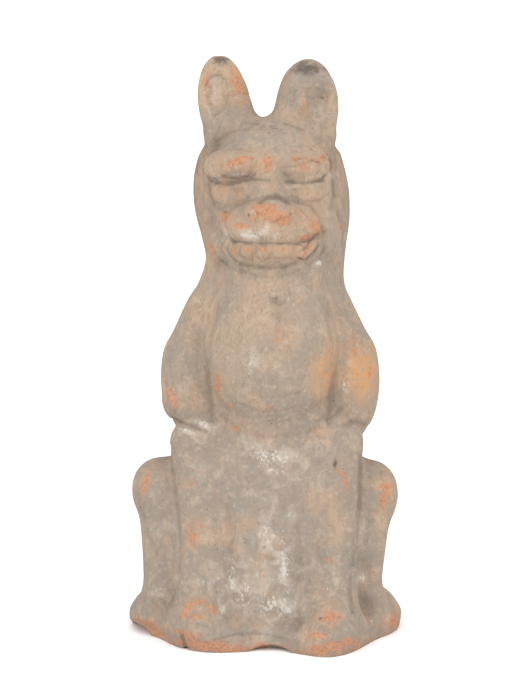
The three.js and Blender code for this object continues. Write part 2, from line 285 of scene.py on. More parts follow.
def ear(p, side):
    form = ears["narrow" if side < 0 else "broad"]
    lean = form["lean"] * (p[2] - form["tip"] + 25)
    leaf = egg(p, (form["middle"] + lean, 4, form["tip"] - 25), (form["half"], 8.5, 25))
    root = limb(p, *form["root"], 9.5, 6)
    return carve(join(leaf, root, 6), egg(p, form["cup"], form["cupSize"]), 2)


# Body and hood, which the hollow inside follows. The hood is rounded over at its top.
def trunk(p):
    hood = carve(column(p, hoodForm), hoodTop["height"] - p[2], hoodTop["round"])
    return join(column(p, torsoForm), hood, 10)


def outside(p):
    d = trunk(p)
    haunchSeam = mix(6, 11, smoothRise(p[2], 78, 92))
    for side in (-1, 1):
        d = join(d, foreleg(p, side), 12)
    for side in (-1, 1):
        d = join(d, upperArm(p, side), 5)
        d = join(d, haunch(p, side), haunchSeam)
    d = join(d, chest(p), mix(13, 4, smoothRise(p[2], 106, 124)))
    d = join(d, tail(p), 3)
    d = join(d, face(p), 3)
    for side in (-1, 1):
        d = join(d, ear(p, side), 7)
    d = join(d, plinthMass(p), 13)
    d = carve(d, egg(p, rimWear["at"], rimWear["size"]), 2)
    return carve(d, egg(p, rimChip["at"], rimChip["size"]), 1)


def hollow(p):
    return -join(-(trunk(p) + figure["wall"]), hollowTop - p[2], 16)


# The whole body of clay, standing flat on the table
def figureField(p):
    return np.maximum(np.maximum(outside(p), -hollow(p)), -p[2])


# Values of the field on a grid. Blocks far from the surface take the value at their middle.
def sampleGrid(field, low, high, pitch, block=4):
    counts = [int(math.ceil((high[k] - low[k]) / pitch / block)) for k in range(3)]
    centres = [low[k] + (np.arange(counts[k]) * block + (block - 1) / 2) * pitch for k in range(3)]
    coarse = field([c.astype(np.float32) for c in np.meshgrid(*centres, indexing="ij")])
    for axis in range(3):
        coarse = np.repeat(coarse, block, axis)
    values = np.ascontiguousarray(coarse, np.float32)
    near = np.flatnonzero(np.abs(values) < block * pitch * 1.3)
    for part in np.array_split(near, max(1, len(near) // 250000)):
        index = np.unravel_index(part, values.shape)
        values.flat[part] = field([(low[k] + index[k] * pitch).astype(np.float32) for k in range(3)])
    return values


# Surface net: one vertex in each cell that the surface crosses, one quad round each crossed edge
def surfaceNet(values, low, pitch):
    shape = values.shape
    cells = np.prod(shape)
    sums = np.zeros((3, cells))
    counts = np.zeros(cells)
    edges = []
    for axis in range(3):
        a = np.take(values, np.arange(shape[axis] - 1), axis)
        b = np.take(values, np.arange(1, shape[axis]), axis)
        node = np.argwhere((a < 0) != (b < 0))
        first, second = a[tuple(node.T)], b[tuple(node.T)]
        place = node.astype(float)
        place[:, axis] += first / (first - second)
        u, v = np.eye(3, dtype=int)[(axis + 1) % 3], np.eye(3, dtype=int)[(axis + 2) % 3]
        around = [np.ravel_multi_index((node + shift).T, shape) for shift in (-u - v, -v, 0 * u, -u)]
        for cell in around:
            counts += np.bincount(cell, minlength=cells)
            for k in range(3):
                sums[k] += np.bincount(cell, place[:, k], cells)
        quads = np.stack(around, 1)
        edges.append(np.where((first < 0)[:, None], quads, quads[:, ::-1]))
    used = np.flatnonzero(counts)
    number = np.full(cells, -1)
    number[used] = np.arange(len(used))
    points = np.array(low) + (sums[:, used] / counts[used]).T * pitch
    return points, number[np.concatenate(edges)]


# Gradient of the field, for normals and for settling points on the surface
def gradient(field, points, step=0.25):
    slope = np.empty_like(points)
    for k in range(3):
        shift = np.zeros(3)
        shift[k] = step
        slope[:, k] = (field((points + shift).T) - field((points - shift).T)) / (2 * step)
    return slope / np.maximum(np.linalg.norm(slope, axis=1, keepdims=True), 1e-6)


def settle(field, points, pitch):
    normals = gradient(field, points)
    move = np.clip(field(points.T), -pitch / 2, pitch / 2)
    return points - normals * move[:, None]


def meshFrom(name, points, quads):
    mesh = bpy.data.meshes.new(name)
    mesh.vertices.add(len(points))
    mesh.vertices.foreach_set("co", points.astype(np.float32).ravel())
    mesh.loops.add(quads.size)
    mesh.loops.foreach_set("vertex_index", quads.astype(np.int32).ravel())
    mesh.polygons.add(len(quads))
    mesh.polygons.foreach_set("loop_start", np.arange(0, quads.size, 4, dtype=np.int32))
    mesh.update(calc_edges=True)
    mesh.validate()
    return mesh


def addObject(name, data):
    piece = bpy.data.objects.new(name, data)
    bpy.context.scene.collection.objects.link(piece)
    return piece


# Turns a piece and its live modifiers into one plain mesh
def applyModifiers(piece):
    bpy.context.view_layer.update()
    evaluated = piece.evaluated_get(bpy.context.evaluated_depsgraph_get())
    mesh = bpy.data.meshes.new_from_object(evaluated)
    old = piece.data
    piece.modifiers.clear()
    piece.data = mesh
    bpy.data.meshes.remove(old)


def coordinates(mesh):
    flat = np.empty(len(mesh.vertices) * 3, np.float32)
    mesh.vertices.foreach_get("co", flat)
    return flat.reshape(-1, 3).astype(float)


# One small function adds a node with its settings and links
def addNode(tree, kind, links=None, **settings):
    node = tree.nodes.new(kind)
    for name, value in settings.items():
        setattr(node, name, value)
    for key, value in (links or {}).items():
        if isinstance(value, bpy.types.NodeSocket):
            tree.links.new(value, node.inputs[key])
        else:
            node.inputs[key].default_value = value
    return node


def linearColour(hexText):
    parts = [int(hexText[i:i + 2], 16) / 255 for i in (1, 3, 5)]
    return (*(c / 12.92 if c <= 0.04045 else ((c + 0.055) / 1.055) ** 2.4 for c in parts), 1)


# Camera at the photograph's viewing angle
camera = {
    "target": (0.0012, 0.0, 0.150), "distance": 1.300, "elevation": 8.0,
    "focalPixels": 2477.0, "targetPixel": (268.0, 344.8), "imageSize": (525, 700), "sensor": 36.0,
}


def makeCamera():
    data = bpy.data.cameras.new("camera")
    piece = addObject("camera", data)
    tilt = math.radians(camera["elevation"])
    back = Vector((0, -math.cos(tilt), math.sin(tilt)))
    piece.location = Vector(camera["target"]) + back * camera["distance"]
    piece.rotation_euler = (-back).to_track_quat("-Z", "Y").to_euler()
    wide, tall = camera["imageSize"]
    data.sensor_width = camera["sensor"]
    data.lens = camera["focalPixels"] * camera["sensor"] / tall
    data.shift_x = (wide / 2 - camera["targetPixel"][0]) / tall
    data.shift_y = (camera["targetPixel"][1] - tall / 2) / tall
    data.clip_start = 0.05
    data.clip_end = 60
    bpy.context.scene.camera = piece


# Where points in metres fall in the photograph's frame, in its pixels
def photoPixels(points):
    tilt = math.radians(camera["elevation"])
    away = points - np.array(camera["target"])
    right = away[:, 0]
    up = away[:, 2] * math.cos(tilt) + away[:, 1] * math.sin(tilt)
    depth = camera["distance"] + away[:, 1] * math.cos(tilt) - away[:, 2] * math.sin(tilt)
    u = camera["targetPixel"][0] + camera["focalPixels"] * right / depth
    v = camera["targetPixel"][1] - camera["focalPixels"] * up / depth
    return u, v


# Marks picked in the photograph's frame. Where the slip has gone, where dirt has stayed and where shade is
# painted, as ovals:
# middle u and v, half sizes across and down in pixels, turn in degrees, strength
wornSpots = {
    "narrowEarFlank": (238, 84, 7, 15, -15, 0.9), "narrowEarEdge": (206, 78, 4, 9, 15, 0.8),
    "broadEarRidge": (303.5, 106, 1.6, 20, 0, 0.8), "broadEarEdge": (284, 84, 2.5, 14, 20, 0.4),
    "browNarrowSide": (238, 161, 15, 5, -8, 1.0), "browMiddle": (268, 164, 5, 9, 0, 1.0),
    "browBroadSide": (295, 160, 7, 5, 30, 0.8), "browBroadTip": (322, 158, 5, 6, 40, 0.9),
    "browUnder": (224, 183, 4, 2.5, 0, 0.8), "bridge": (271, 187, 4, 3, 0, 0.7),
    "noseTop": (264, 210, 14, 7, 15, 1.1), "noseSide": (280, 217, 15, 8, 15, 1.1),
    "noseSpread": (268, 213, 24, 11, 5, 0.6), "browSpread": (244, 164, 30, 9, 0, 0.5),
    "browSpreadRight": (308, 163, 18, 9, 0, 0.55), "lipEdgeLeft": (226, 217, 5, 9, 35, 0.9),
    "lipLeft": (240, 226, 13, 3, 0, 1.1), "lipRight": (316, 226, 6, 13, -10, 0.9),
    "lipRightEnd": (308, 238, 8, 4, -10, 1.0), "toothLeft": (248, 250, 4, 2.5, 0, 0.9),
    "toothMiddle": (263, 250, 5, 3, 0, 1.0), "toothRight": (280, 250, 7, 4, 0, 0.6),
    "tuskLeft": (234, 250, 4, 8, -25, 0.7), "tuskRight": (308, 250, 3, 8, 35, 0.9),
    "jowlLeft": (213, 251, 4, 9, -20, 0.8), "jowlRight": (340, 228, 2.5, 9, 0, 0.6),
    "hoodSpeck": (337, 165, 2, 5, 0, 0.5), "chestLeft": (217, 384, 4, 9, 0, 0.9),
    "chestLow": (230, 405, 3, 4, 0, 0.7), "chestMiddle": (270, 408, 6, 4, 0, 0.6),
    "chestThroat": (277, 335, 5, 9, 0, 0.6), "chestBroad": (325, 372, 4, 9, 5, 0.6),
    "armBroad": (371, 372, 5, 9, 0, 0.7), "armBroadTop": (354, 350, 4, 9, -10, 0.7),
    "armNarrow": (173, 397, 6, 10, -10, 1.0), "kneeNarrow": (145, 484, 3, 14, 18, 0.85),
    "legNarrowTop": (191, 485, 5, 2, 0, 0.9), "legNarrow": (192, 536, 5, 13, -15, 0.8),
    "kneeBroad": (386, 486, 6, 5, 0, 1.0), "kneeBroadLow": (384, 499, 4, 9, 8, 1.05),
    "legBroad": (345, 480, 2.5, 14, -15, 0.8), "legBroadLow": (330, 560, 8, 4, 20, 0.7),
    "pawNarrowLeft": (185, 612, 4, 10, 25, 0.95), "pawNarrowTop": (197, 602, 9, 3.5, -10, 0.9),
    "pawNarrowRight": (212, 609, 4, 9, -30, 0.95), "pawNarrowLow": (197, 617, 8, 3, 0, 0.7),
    "shinFleck": (202, 526, 4, 2, 0, 0.8), "panelFleck": (264, 577, 2, 5, 0, 0.8),
    "bellyFleck": (274, 518, 3, 3, 0, 0.7), "legBroadFleck": (340, 470, 2.5, 4, 0, 0.9),
    "legBroadTop": (345, 482, 2.5, 3, 0, 0.8), "pawBroad": (331, 617, 11, 8, 20, 0.8),
    "rimCorner": (394, 620, 5, 14, 15, 0.9), "rimFarLeft": (150, 628, 19, 6, 30, 1.15),
    "rimLeft": (210, 646, 38, 6, 5, 1.2), "rimLeftHigh": (186, 634, 22, 5, 14, 0.8),
    "rimMiddle": (262, 645, 14, 3, -8, 0.8), "rimRight": (330, 647, 32, 6, -12, 1.15),
    "rimRightHigh": (318, 636, 20, 6, 0, 0.7), "muzzleSpeck": (300, 212, 8, 7, 0, 0.6),
    "browScratch": (222, 176, 8, 3, 0, 0.7), "elbowSpot": (236, 429, 5, 3, 0, 0.9),
}
warmSpots = {
    "eyeNarrow": (228, 195, 15, 9, 0, 0.6), "eyeBroad": (310, 194, 14, 8, 0, 0.3),
    "narrowEarFlank": (237, 82, 9, 20, -15, 0.56), "narrowEarEdge": (205, 82, 4, 13, 15, 0.37),
    "narrowEarTop": (222, 70, 12, 5, 0, 0.37), "broadEarRidge": (303.5, 108, 2.5, 20, 0, 0.43),
    "broadEarBase": (296, 118, 12, 8, 0, 0.25), "browNarrow": (240, 164, 26, 8, -5, 0.31),
    "browBroad": (306, 163, 20, 9, 0, 0.31), "muzzle": (270, 216, 28, 12, 0, 0.37),
    "muzzleLeft": (230, 218, 9, 12, 30, 0.37), "muzzleRight": (313, 226, 9, 14, -10, 0.43),
    "teeth": (270, 251, 32, 6, 0, 0.28), "jowlLeft": (212, 248, 6, 14, -15, 0.31),
    "chinLow": (262, 285, 26, 6, 0, 0.15), "throat": (282, 318, 12, 22, 0, 0.15),
    "chestBroad": (326, 372, 11, 21, 8, 1.15), "armBroad": (362, 371, 15, 25, 0, 1.32),
    "armBroadTop": (352, 345, 8, 12, 0, 0.37), "armNarrow": (172, 393, 9, 17, -10, 0.31),
    "chestNarrow": (219, 384, 7, 14, 0, 0.34), "bellyUnder": (238, 424, 22, 8, 30, 0.25),
    "kneeNarrow": (145, 484, 7, 17, 20, 0.31), "legNarrow": (194, 534, 10, 18, 0, 0.28),
    "kneeBroad": (387, 496, 9, 18, 0, 0.43), "legBroad": (343, 484, 8, 26, 0, 0.22),
    "pawNarrow": (200, 610, 22, 13, 0, 0.34), "pawBroad": (331, 615, 17, 12, 0, 0.31),
    "rimRight": (390, 622, 12, 14, 0, 0.31),
}
# Grey marks: dust on the forehead, crown, ear tops and middle panel, and painted shade along the sides of the
# hood, cheeks, arms and haunches
dustAndShadeSpots = {
    "forehead": (268, 136, 44, 17, 0, 0.8), "crown": (268, 122, 26, 8, 0, 0.8),
    "eyes": (232, 204, 16, 4, 0, 0.4), "noseCrown": (276, 199, 16, 6, 0, 0.9),
    "cheekRight": (332, 214, 10, 26, 0, 0.7), "cheekLeft": (208, 222, 8, 24, 0, 0.5),
    "broadEarTop": (306, 76, 24, 12, 0, 1.1), "broadEarPalm": (292, 96, 9, 15, 10, 0.9),
    "narrowEarTop": (222, 62, 9, 5, 0, 0.9), "armBroadTop": (366, 334, 8, 18, 0, 0.9),
    "armNarrowEdge": (176, 340, 6, 34, 8, 0.6), "chestTop": (246, 300, 24, 14, 0, 0.4),
    "chestSideRight": (312, 322, 10, 30, 0, 0.6), "panel": (262, 500, 70, 46, 0, 0.35),
    "panelLow": (245, 632, 45, 7, 0, 0.9), "haunchNarrow": (160, 520, 20, 50, 0, 0.5),
    "haunchBroad": (372, 540, 16, 40, 0, 0.4), "hoodRight": (344, 240, 5, 50, 0, 0.5),
    "hoodLeft": (198, 230, 5, 40, 0, 0.4), "footRight": (372, 600, 20, 12, 0, 0.5),
    "neckLeft": (214, 284, 12, 16, 0, 0.4),
}
limeSpots = {
    "narrowEarCup": (209, 95, 6, 14, 5, 0.9), "narrowEarLine": (227, 86, 2, 11, -10, 0.8),
    "browTip": (216, 175, 7, 5, 30, 0.9), "browFleck": (243, 174, 4, 2.5, 0, 0.9),
    "browBroad": (325, 178, 6, 4, -30, 0.7), "lipLeft": (252, 235, 17, 5, 0, 1.2),
    "lipMiddle": (266, 228, 4, 8, 25, 0.9), "lipRight": (281, 235, 11, 3.5, -8, 0.9),
    "lipCorner": (227, 235, 5, 5, 0, 0.8), "jawChip": (319, 263, 3.2, 2.6, 20, 1.8),
    "throatArc": (276, 294, 10, 2, -10, 0.8), "throatFleck": (288, 299, 1.5, 3, 0, 1.1),
    "chestFlecks": (251, 366, 6, 11, 20, 1.0), "chestMiddle": (281, 368, 4, 4, 0, 0.6),
    "shoulderNarrow": (200, 300, 5, 4, 0, 0.6), "armBroad": (346, 380, 5, 17, 5, 1.1),
    "armNarrow": (175, 390, 5, 9, 0, 0.7), "underElbow": (203, 424, 11, 4, 20, 1.3),
    "elbowLine": (184, 430, 11, 2, 20, 1.1), "underChest": (268, 456, 24, 10, 5, 1.1),
    "underChestLow": (272, 470, 15, 4, 0, 1.0), "armBroadFoot": (325, 425, 4, 5, 20, 0.8),
    "panelTop": (272, 538, 18, 16, 35, 0.9), "panelRight": (284, 568, 8, 30, -6, 1.0),
    "panelLeft": (232, 580, 7, 22, 0, 0.9), "panelLeftLow": (222, 606, 6, 14, 0, 0.9),
    "panelMiddle": (246, 596, 14, 12, 0, 0.9), "panelFoot": (274, 606, 24, 13, 0, 1.1),
    "panelFleck": (288, 516, 6, 9, 0, 0.7), "panelDots": (270, 496, 26, 14, 0, 0.35),
    "panelBand": (262, 592, 40, 8, 0, 0.5), "legNarrowFoot": (205, 583, 13, 5, 0, 0.6),
    "panelVeil": (262, 585, 46, 44, 0, 0.55), "shinVeil": (270, 455, 34, 20, 0, 0.5),
    "cupVeil": (213, 94, 9, 20, 0, 0.8), "legBroadFoot": (327, 585, 11, 6, 0, 0.7),
    "footNarrow": (160, 590, 12, 4, -25, 0.7), "haunchNarrow": (160, 500, 6, 14, 0, 0.4),
    "footBroad": (362, 577, 6, 10, 0, 0.8), "haunchBroad": (365, 540, 5, 16, 0, 0.4),
    "hoodEdge": (346, 232, 2, 10, 0, 0.7),
}
# Dark marks: soot stains on the ear tips, crown and arms, and painted shade in the nostrils, pits, grooves
# and creases, under the jaw and under the rim
sootAndShadeSpots = {
    "narrowEarTip": (221, 60, 9, 6, 10, 1.4), "broadEarTip": (305, 68, 20, 8, 5, 1.3),
    "broadEarPalm": (293, 96, 10, 16, 10, 0.5), "broadEarCup": (322, 100, 12, 6, 0, 0.35),
    "crown": (272, 128, 22, 10, 0, 0.6), "nostrilLeft": (248.5, 215, 1.8, 2.2, 0, 1.2),
    "nostrilRight": (291, 214, 1.6, 1.6, 0, 1.1), "noseTop": (274, 198, 9, 4, 20, 0.6),
    "throat": (277, 301, 9, 8, 0, 0.8), "throatLow": (278, 318, 8, 6, 0, 0.6),
    "legGash": (335, 464, 1.8, 4.5, 15, 1.5), "armBroad": (364, 338, 8, 12, 0, 0.5),
    "elbowBroad": (350, 421, 5, 2.5, -20, 0.9), "jowlRight": (305, 277, 4, 2, 0, 0.8),
    "pawMark": (321, 618, 2.5, 1.2, -15, 1.3), "panelDash": (264, 548, 3, 1.2, 0, 1.2),
    "legNarrow": (208, 535, 8, 3, 10, 0.7), "groove": (356, 560, 10, 22, 20, 0.5),
    "chinCrease": (286, 267, 8, 2, -20, 0.7), "rimShade": (243, 634, 38, 6, 0, 0.55),
    "chestDot": (222, 385, 1.4, 1.4, 0, 1.2), "panelGroove": (231, 545, 3, 22, 0, 0.45),
    "panelGrooveRight": (298, 620, 6, 14, 0, 0.5), "eyeDot": (307, 194, 1.5, 1.5, 0, 1.1),
}


# Fine creases and low ridges: points of each line and its half width in pixels, its height in units (below
# nought it is sunk), and how much painted shade and soil darken it
reliefLines = {
    "legCreaseLeft": (((169, 446), (176, 500), (180, 540), (178, 580), (171, 606)), 1.6, -1.2, 0.3),
    "legCreaseRight": (((361, 455), (360, 500), (357, 540), (350, 585), (353, 612)), 2.0, -1.2, 0.35),
    "haunchGroove": (((136, 490), (145, 525), (157, 556)), 2.2, -0.9, 0.2),
    "armCreaseLeft": (((217, 308), (209, 345), (207, 385), (213, 420)), 3.0, -1.1, 0.2),
    "armCreaseRight": (((327, 300), (333, 345), (333, 385), (327, 425)), 3.0, -1.1, 0.2),
    "armFold": (((316, 420), (332, 416), (341, 408)), 1.8, -0.9, 0.2),
    "elbowCrease": (((172, 419), (190, 424), (207, 431)), 1.6, -1.3, 0.3),
    "elbowCreaseRight": (((343, 425), (355, 421), (366, 425)), 2.2, -0.7, 0.3),
    "panelLeft": (((228, 500), (231, 550), (229, 620)), 3.5, -0.9, 0.15),
    "panelRight": (((296, 520), (300, 570), (296, 630)), 3.5, -0.8, 0.15),
    "panelRidge": (((262, 540), (264, 580), (262, 620)), 4.0, 0.6, 0),
    "panelRidgeRight": (((284, 520), (286, 560), (282, 600)), 3.5, 0.6, 0),
    "legRightHollow": (((315, 545), (325, 570), (322, 590)), 5.0, -0.7, 0.1),
    "earRidge": (((304, 88), (305, 105), (304, 126)), 1.3, 1.1, 0),
    "earRidgeTop": (((304, 88), (318, 86), (330, 92)), 1.6, 0.5, 0),
    "earScratch": (((305, 97), (314, 99), (326, 97)), 0.9, -0.5, 0.4),
    "earScratchLow": (((306, 116), (316, 117), (327, 113)), 1.0, -0.4, 0.25),
    "earRimLeft": (((204, 84), (210, 74), (220, 72), (228, 80), (231, 95), (227, 110), (216, 119)),
        1.4, 0.9, 0),
    "earCupEdge": (((206, 86), (211, 78), (219, 76), (225, 82), (228, 95), (224, 108), (214, 116)),
        1.3, -0.8, 0.25),
    "earFoldLeft": (((231, 97), (240, 93), (248, 94)), 1.2, -0.7, 0.35),
    "foreheadFold": (((222, 150), (240, 140), (262, 136), (284, 142)), 3.0, 0.5, 0),
    "foreheadWisp": (((216, 142), (232, 132), (252, 128), (270, 130)), 1.4, -0.3, 0.3),
    "foreheadWispHigh": (((246, 122), (264, 126), (286, 124), (302, 130)), 1.4, -0.3, 0.35),
    "browTop": (((210, 157), (222, 150), (236, 148), (254, 152)), 1.6, -0.6, 0.25),
    "browEnd": (((208, 160), (207, 170), (210, 180)), 1.4, -0.7, 0.35),
    "browFold": (((214, 172), (224, 176), (236, 172), (246, 178), (256, 174)), 1.4, -0.6, 0.25),
    "browUnder": (((211, 181), (226, 184.5), (240, 181.5), (254, 179), (270, 180)), 1.8, -1.0, 0.45),
    "browTopRight": (((286, 154), (298, 152), (312, 150), (326, 155)), 1.6, -0.5, 0.25),
    "browFoldRight": (((284, 168), (298, 166), (314, 160), (328, 166)), 1.4, -0.6, 0.4),
    "browFoldHigh": (((290, 160), (304, 158), (318, 162), (327, 170)), 1.2, -0.5, 0.4),
    "browLedge": (((286, 178), (304, 179.5), (322, 176)), 1.3, 0.8, 0),
    "browUnderRight": (((286, 182), (304, 183.5), (323, 180)), 1.4, -0.9, 0.45),
    "browEndRight": (((324, 156), (331, 162), (329, 172), (323, 177)), 1.3, -0.8, 0.5),
    "faceEdgeLeft": (((209, 184), (211, 196), (216, 208), (226, 212)), 1.6, -0.8, 0.25),
    "faceEdgeRight": (((332, 180), (334, 196), (331, 208)), 1.8, -0.8, 0.25),
    "cheekRight": (((340, 150), (337, 168), (336, 190), (339, 206), (341, 226), (336, 250)), 2.2, 0.5, 0),
    "eyeLeft": (((216, 202), (224, 207.5), (236, 204), (248, 197)), 1.6, -0.5, 0.2),
    "eyeLidLeft": (((214, 192), (228, 189), (244, 191)), 1.4, -0.4, 0.15),
    "eyeRight": (((292, 196), (304, 202), (318, 201), (328, 194)), 1.6, -0.6, 0.3),
    "eyeLidRight": (((292, 190), (306, 188), (322, 190)), 1.4, -0.4, 0.2),
    "muzzleTop": (((224, 220), (232, 208), (246, 201), (262, 197), (282, 197), (298, 202)),
        1.4, -0.7, 0.25),
    "muzzleTopRight": (((298, 202), (310, 206), (320, 217), (323, 232)), 1.5, -0.8, 0.3),
    "noseCrown": (((260, 203), (268, 197), (277, 196), (288, 203)), 2.6, -0.6, 0.6),
    "noseFold": (((252, 206), (258, 213), (256, 222)), 1.4, -0.5, 0.3),
    "noseWing": (((262, 224), (276, 222), (290, 214)), 1.6, -0.5, 0.3),
    "lipFold": (((229, 226), (246, 230), (262, 233), (290, 230), (312, 224)), 2.2, 0.5, 0),
    "lipEdge": (((234, 241.5), (250, 243), (275, 243.5), (298, 243.5), (310, 240), (318, 234)),
        1.3, -0.9, 0.5),
    "lipSide": (((226, 226), (229, 236), (236, 242)), 1.3, -0.7, 0.35),
    "toothGapOne": (((240, 246), (241, 254)), 1.2, -0.4, 0.2),
    "toothGapTwo": (((256, 246), (256, 254)), 1.2, -0.4, 0.2),
    "toothGapThree": (((271, 247), (272, 255)), 1.2, -0.4, 0.2),
    "toothGapFour": (((294, 247), (294, 256)), 1.2, -0.4, 0.2),
    "teethUnder": (((236, 257), (250, 257), (268, 258), (288, 258.5), (298, 257)), 1.4, -0.4, 0.15),
    "tuskRight": (((314, 244), (309, 250), (302, 256)), 2.2, 1.2, 0),
    "tuskRightEdge": (((318, 245), (313, 254), (304, 260), (299, 258)), 1.2, -0.9, 0.7),
    "tuskRightInner": (((309, 243), (304, 249), (298, 253)), 1.1, -0.7, 0.5),
    "tuskLeft": (((231, 246), (234, 252), (237, 257)), 2.0, 0.9, 0),
    "tuskLeftEdge": (((227, 246), (229, 254), (236, 261)), 1.3, -0.8, 0.45),
    "chinFold": (((240, 264), (256, 267.5), (276, 268), (296, 264)), 1.8, -0.7, 0.3),
    "chinUnder": (((240, 270), (258, 276), (280, 277), (300, 270)), 1.6, -0.5, 0.25),
    "chinWrinkle": (((222, 262), (234, 270), (246, 273)), 1.3, -0.5, 0.25),
    "jawLeft": (((210, 244), (216, 256), (226, 264)), 1.6, -0.6, 0.3),
    "jawRight": (((326, 246), (320, 256), (308, 266)), 1.6, -0.6, 0.3),
    "throatRing": (((268, 298), (272, 291), (284, 292), (288, 300), (280, 305), (270, 303)),
        1.2, -0.7, 0.3),
    "throatBow": (((266, 294), (278, 290), (289, 293)), 1.2, 0.7, 0),
    "bellyWrinkle": (((246, 392), (262, 398), (282, 398), (304, 390)), 1.2, -0.6, 0.3),
    "bellyWrinkleLow": (((240, 404), (258, 412), (280, 412), (300, 406)), 1.2, -0.5, 0.25),
    "bellyWrinkleHigh": (((250, 378), (262, 384), (278, 384)), 1.2, -0.5, 0.2),
    "bellyUnder": (((222, 415), (240, 431), (268, 438), (300, 434), (322, 424)), 2.4, -0.6, 0.2),
    "rimNotch": (((181, 636), (183, 642), (186, 650)), 2.2, -1.8, 0.6),
    "rimLine": (((214, 640), (236, 634), (262, 633), (286, 640)), 1.6, -0.7, 0.4),
    "footEdge": (((140, 622), (160, 634), (182, 640)), 1.8, -0.5, 0.2),
}
reliefSpots = {
    "legGash": (335, 464, 1.8, 4.5, 15, -1.2), "chinPit": (319, 263, 3, 2.5, 20, 0.9),
    "pawMark": (321, 618, 2.5, 1.3, -15, -0.8), "pawPitLeft": (198, 612, 9, 6, 0, -0.5),
    "lipPit": (222, 243, 2.5, 2, 0, -0.8), "kneeChip": (387, 496, 5, 12, 0, -0.5),
    "nostrilLeft": (248.5, 216, 1.6, 1.8, 0, -0.9), "nostrilRight": (291, 215, 1.4, 1.4, 0, -0.7),
    "eyeDot": (309, 194, 1.5, 1.5, 0, -0.7), "toothOne": (248.5, 250, 3.8, 3, 0, 1.3),
    "toothTwo": (263, 250.5, 4.5, 3.2, 0, 1.4), "toothThree": (285, 252, 5, 3.2, 0, 1.2),
    "armKnock": (350, 422, 4, 3, -20, -0.8), "bellyLumpLeft": (245, 396, 8, 6, 0, 0.5),
    "bellyLump": (272, 404, 10, 6, 0, 0.5), "chestLump": (225, 388, 4, 5, 0, -0.5),
    "earPit": (322, 98, 1.4, 1.4, 0, -0.8), "rimChipLeft": (150, 628, 10, 5, 30, -0.8),
    "browPit": (240, 174, 3, 2.6, 0, -0.8), "browGap": (281.5, 167, 4.5, 8, 0, 1.2),
    "pawLump": (331, 606, 12, 6, 20, 0.6), "throatPit": (277, 301, 6, 5, 0, -0.5),
    "crownPit": (232, 132, 3, 1.6, -20, -0.6), "legPit": (205, 547, 7, 4, 20, -0.4),
    "legLump": (196, 530, 9, 14, 0, 0.4), "earTipKnock": (216, 62, 4, 3, 20, -0.8),
    "earTipKnockRight": (331, 74, 4, 4, 30, -0.7), "lipLump": (282, 239, 9, 3, 0, 0.4),
    "muzzleLump": (236, 220, 7, 8, 20, 0.5), "muzzleLumpRight": (308, 222, 8, 9, -20, 0.5),
}


# How far points of the photograph's frame lie from the middle of a spot, as a share of its half sizes
def ovalReach(spot, u, v):
    middleU, middleV, across, down, turn = spot[:5]
    angle = math.radians(turn)
    right, below = u - middleU, v - middleV
    along = (right * math.cos(angle) + below * math.sin(angle)) / across
    aside = (below * math.cos(angle) - right * math.sin(angle)) / down
    return np.hypot(along, aside)


# Height of the low relief at points of the photograph's frame, and the painted shade and soil that darken its
# creases
def lowRelief(u, v, facing):
    height, soilAndShade = np.zeros(len(u)), np.zeros(len(u))
    for points, halfWidth, lineHeight, shadeAndDirt in reliefLines.values():
        nearest = np.full(len(u), 1e6)
        for (u0, v0), (u1, v1) in zip(points, points[1:]):
            run, fall = u1 - u0, v1 - v0
            t = np.clip(((u - u0) * run + (v - v0) * fall) / (run ** 2 + fall ** 2), 0, 1)
            nearest = np.minimum(nearest, np.hypot(u - mix(u0, u1, t), v - mix(v0, v1, t)))
        shape = np.exp(-((nearest / halfWidth) ** 2))
        height += lineHeight * shape
        soilAndShade = np.maximum(soilAndShade, shadeAndDirt * shape)
    for spot in reliefSpots.values():
        height += spot[5] * np.exp(-ovalReach(spot, u, v) ** 2)
    return height * facing, soilAndShade * facing


# How far a point faces the front, from nought at the sides to one
def frontFacing(points, normals):
    return smoothRise(-normals[:, 1], -0.25, 0.15) * smoothRise(-points[:, 1], -45, -10)


# The strongest of a set of spots at points of the photograph's frame, kept off the back of the figure
def spotWeight(spots, u, v, facing):
    weight = np.zeros(len(u))
    for spot in spots.values():
        weight = np.maximum(weight, spot[5] * np.exp(-0.8 * ovalReach(spot, u, v) ** 2))
    return weight * facing


# Weights on the piece's points, which the clay's material reads
def weather(mesh):
    metres = coordinates(mesh)
    points = metres / figure["unit"] + np.array([plinth["middle"], 0, 0])
    normals = gradient(figureField, points)
    facing = frontFacing(points, normals)
    u, v = photoPixels(metres)
    reach = 5.0
    # how closely other clay closes round each point; the material darkens these hollows with painted shade
    # and soil
    cavity = np.clip(1 - figureField((points + normals * reach).T) / reach, 0, 1)
    edge = np.clip(1 + figureField((points - normals * reach).T) / reach, 0, 1)
    rim = swell(points[:, 2], 2, 7) * smoothRise(edge, 0, 0.4)
    low = swell(points[:, 2], 34, 22)
    rubbed = 0.45 * edge * (points[:, 2] > 12) + 0.5 * rim
    crusted = (0.35 * cavity + 0.55 * low) * (1 - facing)
    weights = {
        "worn": np.maximum(spotWeight(wornSpots, u, v, facing), rubbed),
        "lime": np.maximum(spotWeight(limeSpots, u, v, facing), crusted),
        "sootAndShade": spotWeight(sootAndShadeSpots, u, v, facing),
        # cavity and crease paint shade with soil; the soot and dust spots also hold painted shade
        "cavity": cavity,
        "crease": lowRelief(u, v, facing)[1],
        "warm": spotWeight(warmSpots, u, v, facing),
        "dustAndShade": spotWeight(dustAndShadeSpots, u, v, facing),
        "inside": smoothRise(-hollow(points.T), -1, 1),
    }
    for name, weight in weights.items():
        layer = mesh.attributes.new(name, "FLOAT", "POINT")
        layer.data.foreach_set("value", weight.astype(np.float32))


# The skin's settings, by the names that its node group shows
skinSettings = {
    "Undulation": "undulation", "Undulation Size": "undulationSize", "Grain": "grain",
    "Grain Size": "grainSize", "Pit Depth": "pitDepth", "Pit Size": "pitSize", "Seed": "seed",
}


